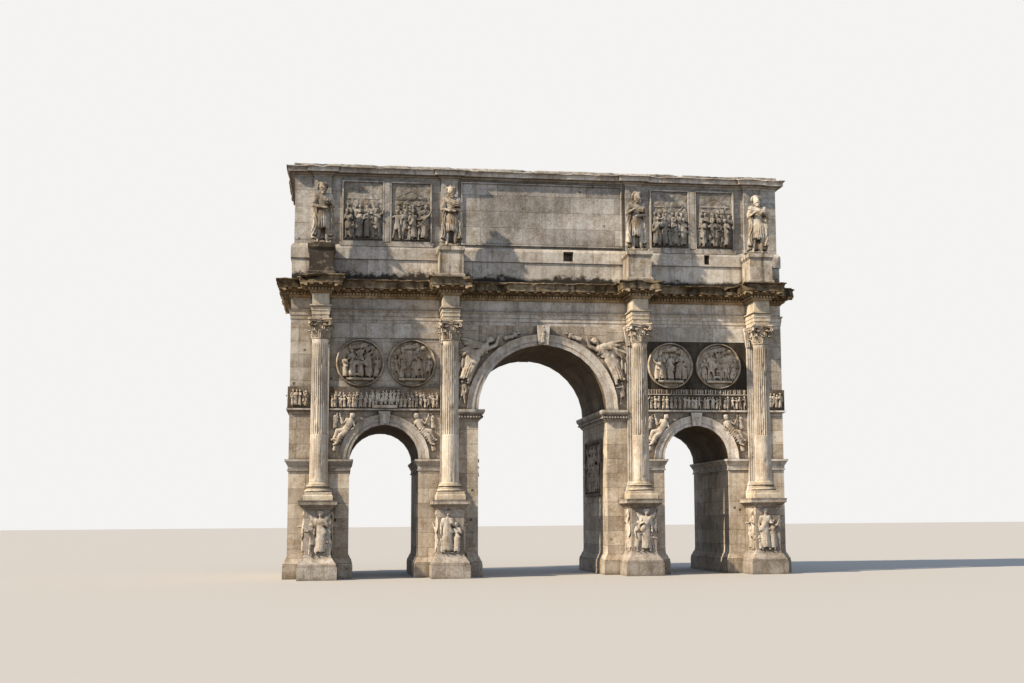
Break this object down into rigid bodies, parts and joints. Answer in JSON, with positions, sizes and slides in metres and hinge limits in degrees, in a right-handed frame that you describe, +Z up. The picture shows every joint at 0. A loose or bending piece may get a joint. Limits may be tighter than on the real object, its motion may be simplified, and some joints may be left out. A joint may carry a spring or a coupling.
{
  "type": "triumphal arch",
  "caption": "Marble triumphal arch with a wide middle passage between lower side passages, a column before each pier and a tall attic with statues.",
  "frame": {"origin": "middle of the plan at ground level", "axes": "+X along the front from left to right as seen, +Y from front to back, +Z up"},
  "size_m": [26.46, 12.16, 20.47],
  "materials": {
    "carved_marble": "matte",
    "dark_stone": "matte",
    "pale_marble": "matte",
    "vault_marble": "matte",
    "yellow_marble": "matte"
  },
  "bodies": {
    "root": {"attic_capping": "pale_marble", "attic_cornice": "pale_marble", "attic_pilasters_back": "pale_marble", "attic_pilasters_front": "pale_marble", "attic_podium": "pale_marble", "attic_reliefs_back": "carved_marble", "attic_reliefs_front": "carved_marble", "attic_wall_back": "pale_marble", "attic_wall_front": "pale_marble", "attic_wall_left": "pale_marble", "attic_wall_right": "pale_marble", "bare_field_back": "pale_marble", "bare_field_front": "pale_marble", "capitals_back": "pale_marble", "capitals_front": "pale_marble", "central_archivolts": "pale_marble", "central_imposts": "pale_marble", "central_vault": "vault_marble", "column_bases_back": "pale_marble", "column_bases_front": "pale_marble", "column_entablatures_back": "pale_marble", "column_entablatures_front": "pale_marble", "column_shafts_back": "yellow_marble", "column_shafts_front": "yellow_marble", "dark_facing": "dark_stone", "figure_friezes": "carved_marble", "inner_pier_left": "pale_marble", "inner_pier_right": "pale_marble", "keystones": "pale_marble", "main_architrave": "pale_marble", "main_cornice": "pale_marble", "main_frieze": "pale_marble", "outer_pier_left": "pale_marble", "outer_pier_right": "pale_marble", "passage_reliefs": "carved_marble", "pedestals_back": "pale_marble", "pedestals_front": "pale_marble", "pilasters_back": "pale_marble", "pilasters_front": "pale_marble", "plain_bands_back": "pale_marble", "plain_bands_front": "pale_marble", "roundels_back": "carved_marble", "roundels_front": "carved_marble", "side_archivolts": "pale_marble", "side_imposts": "pale_marble", "side_vault_left": "vault_marble", "side_vault_right": "vault_marble", "statue_plinths_back": "pale_marble", "statue_plinths_front": "pale_marble", "statues_back": "carved_marble", "statues_front": "carved_marble", "string_courses": "pale_marble", "upper_wall_left": "pale_marble", "upper_wall_right": "pale_marble"}
  },
  "joints": []
}
